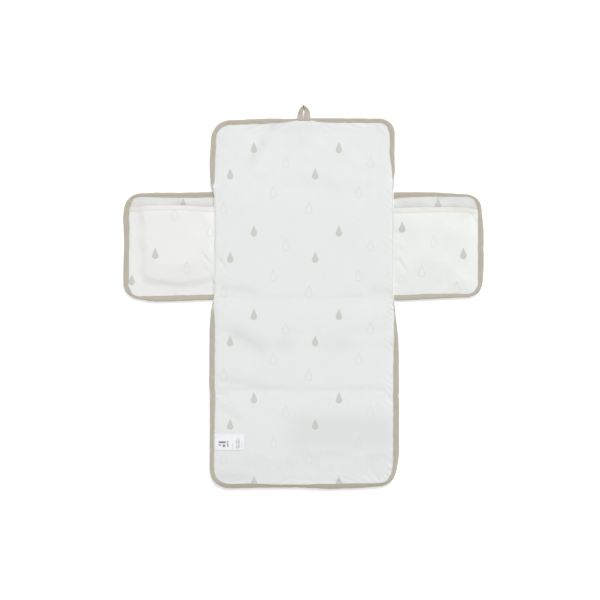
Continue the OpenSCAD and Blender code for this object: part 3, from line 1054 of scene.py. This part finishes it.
def wing_place(side):
    """Moves a wing's flat points to its sewn outline, on its own side of the mat."""
    def place(u, y):
        out, up = beside_wing(side, WING_EDGES, u, y)
        out = out + 0.2 * MM * waves(0 * y + side, y, 60 * MM, 16 * MM, 2.0)
        up = up + 0.2 * MM * waves(u, side + 0 * u, 60 * MM, 16 * MM, 3.0)
        end = np.sign(y - wing_mid)
        rim_u = np.clip(u / wing_width, 0, 1) ** 5
        rim_y = (np.abs(y - wing_mid) / wing_half) ** 5
        return side * (wing_low.x + u + rim_u * out), y + end * rim_y * up
    return place


def wing_grid(side, low_y, high_y, step, height, mouth=False):
    """A grid over part of a wing. Below a mouth, the rows follow the mouth's soft curve."""
    inner = wing_corner - tuck
    y = steps((low_y, high_y, step))
    rise = np.maximum(np.abs(y - wing_mid) - (wing_half - wing_corner), 0)
    reach = wing_width - wing_corner + np.sqrt(np.maximum(inner**2 - rise**2, 0))
    share = steps((0, 0.04, 0.004), (0.04, 0.14, 0.008), (0.14, 0.85, step / wing_width), (0.85, 1, 0.01))
    u = -seam_tuck + share[None, :] * (reach + seam_tuck)[:, None]
    y = np.repeat(y[:, None], len(share), 1)
    if mouth:
        y = y + curve(u, WING_MOUTH[side]) * ramp(wing_mid - 40 * MM, hem_y, y)
    z = height(u, y)
    x, y = wing_place(side)(u, y)
    normals = grid_normals(x, y, z)
    grid = x, y, z, normals * np.sign(normals[..., 2:])
    return grid if side > 0 else tuple(part[:, ::-1] for part in grid)


def lining_height(side):
    def height(u, y):
        inside = np.maximum(wing_depth(u, y) - wing_tape_width(side, u, y), 0)
        base = 2.0 * MM + 0.35 * MM * (1 - np.exp(-inside / (10 * MM)))
        sway = 0.3 * MM * waves(u, y, 90 * MM, 25 * MM, 0.5 + side)
        near_mouth = 0.5 * MM * bell(y, mouth_y + 4 * MM, 9 * MM)
        near_mouth = near_mouth * waves(u, 0 * y, 80 * MM, 30 * MM, side + 2)
        raised = 0.55 * MM * ramp(mouth_y - 3 * MM, mouth_y + 9 * MM, y)
        return base + raised + (sway - near_mouth) * (1 - np.exp(-inside / (8 * MM)))
    return height


# Wrinkles of the pockets' cloth, as for the mat but measured outwards from the seam.
WING_WRINKLES = {
    1: [((8, 73), (22, 49), 0.60, 2.4), ((10, 97), (14, 82), 0.45, 2.6), ((4, 127), (13, 117), 0.45, 2.2),
        ((6, 31), (11, 21), 0.45, 1.8), ((150, 156), (161, 128), 0.60, 3.2),
        ((154, 46), (162, 53), 0.50, 2.0), ((113, 4), (119, 24), 0.45, 2.4),
        ((84, 6), (90, 24), 0.30, 4.0), ((104, 16), (98, 64), 0.25, 7.0),
        ((132, 74), (144, 38), 0.30, 8.0), ((8, 46), (20, 22), 0.25, 4.0)],
    -1: [((20, 83), (7, 66), 0.50, 2.2), ((7, 104), (1, 86), 0.35, 2.4), ((17, 7), (2, 16), 0.45, 2.0),
         ((60, 6), (57, 14), 0.35, 2.0), ((163, 57), (154, 42), 0.55, 2.4), ((2, 32), (6, 24), 0.30, 1.8),
         ((24, 70), (6, 40), 0.25, 5.0), ((161, 118), (154, 110), 0.35, 2.0)],
}


def carried_shape(u, y):
    """The left pocket keeps the flat, round-cornered shape of what it has carried: 1 on it, 0 beside it."""
    round_corner = 30 * MM
    beyond = u - 86 * MM
    qu = np.where(beyond > 0, beyond, -0.45 * beyond) - (48 * MM - round_corner)
    qy = 26 * MM + round_corner - y
    away = np.hypot(np.maximum(qu, 0), np.maximum(qy, 0)) + np.minimum(np.maximum(qu, qy), 0) - round_corner
    away = away + 2.5 * MM * waves(u, y, 130 * MM, 50 * MM, 1.2)
    return ramp(10 * MM, -6 * MM, away)


def pocket_height(side):
    def height(u, y):
        inside = np.maximum(wing_depth(u, y) - wing_tape_width(side, u, y), 0)
        rim = 2.7 * MM
        room = pocket_top_z - rim - 0.9 * MM
        reach = 17 * MM + 30 * MM * ramp(wing_low.y + 140 * MM, wing_low.y + 20 * MM, y)
        rise = (1 - np.exp(-inside / reach)) * (1 - 0.3 * np.exp(-np.maximum(u, 0) / (14 * MM)))
        full = 0.72 + 0.2 * ramp(wing_low.y, mouth_y, y) + 0.07 * waves(u, y, 150 * MM, 40 * MM, 1.9 * side)
        if side < 0:
            full = 0.42 * full + 0.52 * carried_shape(u, y)
            rise = np.minimum(1.25 * rise, 1)
        folds = wrinkles(u, y, WING_WRINKLES[side], fade=5 * MM)
        pucker = 0.16 * MM * np.sin(2 * math.pi * (u + y) / (9 * MM)) * np.exp(-inside / (6 * MM))
        height = rim + room * full * rise + (folds + pucker) * (1 - np.exp(-inside / (4 * MM)))
        return np.minimum(height, pocket_top_z - 0.5 * MM)
    return height


def hem_height(side, u, y):
    """The hem lies on the pocket's cloth, and goes under the tape with it."""
    inside = np.maximum(wing_depth(u, y) - wing_tape_width(side, u, y), 0)
    return pocket_height(side)(u, y) + 0.22 * MM * (1 - np.exp(-inside / (2 * MM)))


def wing_path():
    """A wing's bound edge from the seam's lower end round to its upper end, in (u, y)."""
    low, high, out = wing_low.y, wing_high.y, wing_width
    return chain(straight((-seam_tuck, low), (out - wing_corner, low), (0, 1)),
                 arc(out - wing_corner, low + wing_corner, wing_corner, -90, 0),
                 straight((out, low + wing_corner), (out, high - wing_corner), (-1, 0)),
                 arc(out - wing_corner, high - wing_corner, wing_corner, 0, 90),
                 straight((out - wing_corner, high), (-seam_tuck, high), (0, -1)))


def make_wing(side, name, cloth):
    body = name + "_wing"
    place = wing_place(side)
    pieces = {}
    low_y, high_y = wing_low.y + tuck, wing_high.y - tuck
    lining = wing_grid(side, low_y, high_y, 4 * MM, lining_height(side))
    back = wing_grid(side, low_y, high_y, 5 * MM, lambda u, y: 1.1 * MM + 0 * u)
    pieces["lining"] = sheet_from_grid(name + "_lining", lining, 0.5 * MM, lining_cloth)
    pieces["outer"] = sheet_from_grid(name + "_outer", back, 0.7 * MM, outer_cloth)
    front = wing_grid(side, low_y, mouth_y - 1.5 * MM, 2 * MM, pocket_height(side), True)
    hem = wing_grid(side, hem_y, mouth_y, 1.5 * MM, lambda u, y: hem_height(side, u, y), True)
    pieces["front"] = sheet_from_grid(name + "_pocket", front, 0.5 * MM, cloth)
    pieces["hem"] = sheet_from_grid(name + "_hem", hem, 1.5 * MM, hem_cloth)
    points, inward = wing_path()
    u, y = points[:, 0], points[:, 1]
    width = wing_tape_width(side, u, y)
    top = wing_tape_top + 0.15 * MM * waves(u, y, 60 * MM, 9 * MM, 1.3 * side)
    low = np.full_like(top, 0.1 * MM)
    pieces["tape"] = sweep_tape(name + "_tape", points, inward, width, top, low, place, tape_cloth, 0.6 * MM)
    pieces["stitches"] = stitches(name + "_stitches", points, inward, width - 0.6 * MM, top - 0.12 * MM,
                                  place, taupe_thread)
    # Each piece's finish, and the CAD node that it stands for.
    roles = {"lining": ("lining_fabric", body + "_lining"), "outer": ("outer_fabric", body + "_backing"),
             "front": ("cover_fabric", name + "_pocket_front"), "hem": ("hem_tape", name + "_pocket_hem"),
             "tape": ("binding_tape", body + "_binding"), "stitches": ("thread", None)}
    for part, piece in pieces.items():
        slot, node = roles[part]
        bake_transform(piece)
        if node:
            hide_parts(node)


make_wing(-1, "left", left_cloth)
make_wing(1, "right", right_cloth)

# ---- label, loop and button


def make_label():
    """The satin label lies on the end panel, its left end caught under the tape."""
    x0, x1 = label_low.x - 2 * MM, label_high.x - 0.5 * MM
    y0, y1 = label_low.y + 0.7 * MM, label_high.y + 1.6 * MM
    x, y = np.meshgrid(np.linspace(x0, x1, 40), np.linspace(y0, y1, 20))
    free = mat_depth(x, y) - mat_tape_width(x, y)
    z = cover_height(x, y) + 0.28 * MM * ramp(0, 3 * MM, free) - 0.2 * MM * ramp(1 * MM, -1 * MM, free)
    lifted = np.clip((x - x0) / (x1 - x0), 0, 1)
    z = z + 0.25 * MM * lifted**3 * (1 + 0.5 * np.sin(y * 200))
    x, y = shape_mat(x, y)
    label = sheet_from_grid("label", (x, y, z, grid_normals(x, y, z)), 0.2 * MM, label_cloth)
    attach(label, "end_panel")
    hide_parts("care_label")


def smooth_curve(points, count):
    """A Catmull-Rom curve through a few points."""
    p = np.array(points, float)
    p = np.concatenate([[2 * p[0] - p[1]], p, [2 * p[-1] - p[-2]]])
    out = []
    for t in np.linspace(0, len(p) - 3, count):
        i = min(int(t), len(p) - 4)
        f = t - i
        a, b, c, d = p[i : i + 4]
        square, cube = 2 * a - 5 * b + 4 * c - d, 3 * b - a - 3 * c + d
        out.append(0.5 * (2 * b + (c - a) * f + square * f**2 + cube * f**3))
    return np.array(out)


# The loop's outer edge and the edge of its slit, from the left leg round the tip to the right one, as (x, y)
# from its root, and how high each stands above the floor, as (y, height). All are in millimetres.
LOOP_OUTER = [(-12.6, 0), (-12.5, 8), (-11, 16), (-7, 23.5), (-3.4, 27.6), (-2, 29.2), (0.2, 28.4), (5, 26),
              (11, 17), (12.4, 8), (12.4, 0)]
LOOP_SLIT = [(-1, 0), (-1.4, 8), (-2, 14), (-1.9, 18.5), (-1.3, 20), (-0.5, 20.3), (0.3, 20), (1, 18.5),
             (0.7, 14), (-0.1, 8), (-0.6, 0)]
LOOP_OUTER_RISE = [(0, 5.1), (14, 4.4), (28, 5.4)]
LOOP_SLIT_RISE = [(0, 5.1), (19, 4)]


def make_loop():
    """Folded tape: one leg turns over the other at the tip, which leaves a deep crease above the slit."""
    root = loop_root_y - 2.2 * MM
    count, across = 181, 13
    edges = []
    for outline, rise in ((LOOP_OUTER, LOOP_OUTER_RISE), (LOOP_SLIT, LOOP_SLIT_RISE)):
        flat = smooth_curve([(x * MM, y * MM) for x, y in outline], count)
        edges.append(np.stack([flat[:, 0], root + flat[:, 1], curve(flat[:, 1], rise)], -1))
    a, b = edges
    share = np.linspace(0, 1, across)[None, :, None]
    face = a[:, None, :] * (1 - share) + b[:, None, :] * share
    face[..., 2:] -= 0.25 * MM * (np.exp(-share / 0.05) + np.exp(-(1 - share) / 0.05))
    turn = a.shape[0] // 2
    apart = np.linalg.norm(face[..., :2] - face[turn : turn + 1, :, :2], axis=-1)
    face[..., 2] -= 2.2 * MM * np.exp(-((apart / (0.9 * MM)) ** 2))
    over = ramp(0.0, 1.6 * MM, apart) * (np.arange(count)[:, None] < turn)
    face[..., 2] += 0.7 * MM * over * ramp(8 * MM, 18 * MM, face[..., 1] - root)
    face[..., 2] = np.minimum(face[..., 2], 6.4 * MM)
    x, y, z = (face[..., k] for k in range(3))
    normals = grid_normals(x, y, z)
    normals = normals * np.sign(normals[..., 2:])
    tape = sheet_from_grid("loop", (x, y, z, normals), 0.9 * MM, tape_cloth)
    face_outward(tape)
    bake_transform(tape)
    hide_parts("closing_loop", "loop_ends")


def finish_button():
    button = resin("button_resin", (158, 143, 122))
    for node, material in (("closing_button", button), ("button_thread", cream_thread)):
        cad = frame["nodes"][node]
        cad.data.materials.clear()
        cad.data.materials.append(material)


make_label()
make_loop()
finish_button()

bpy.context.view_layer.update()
import json
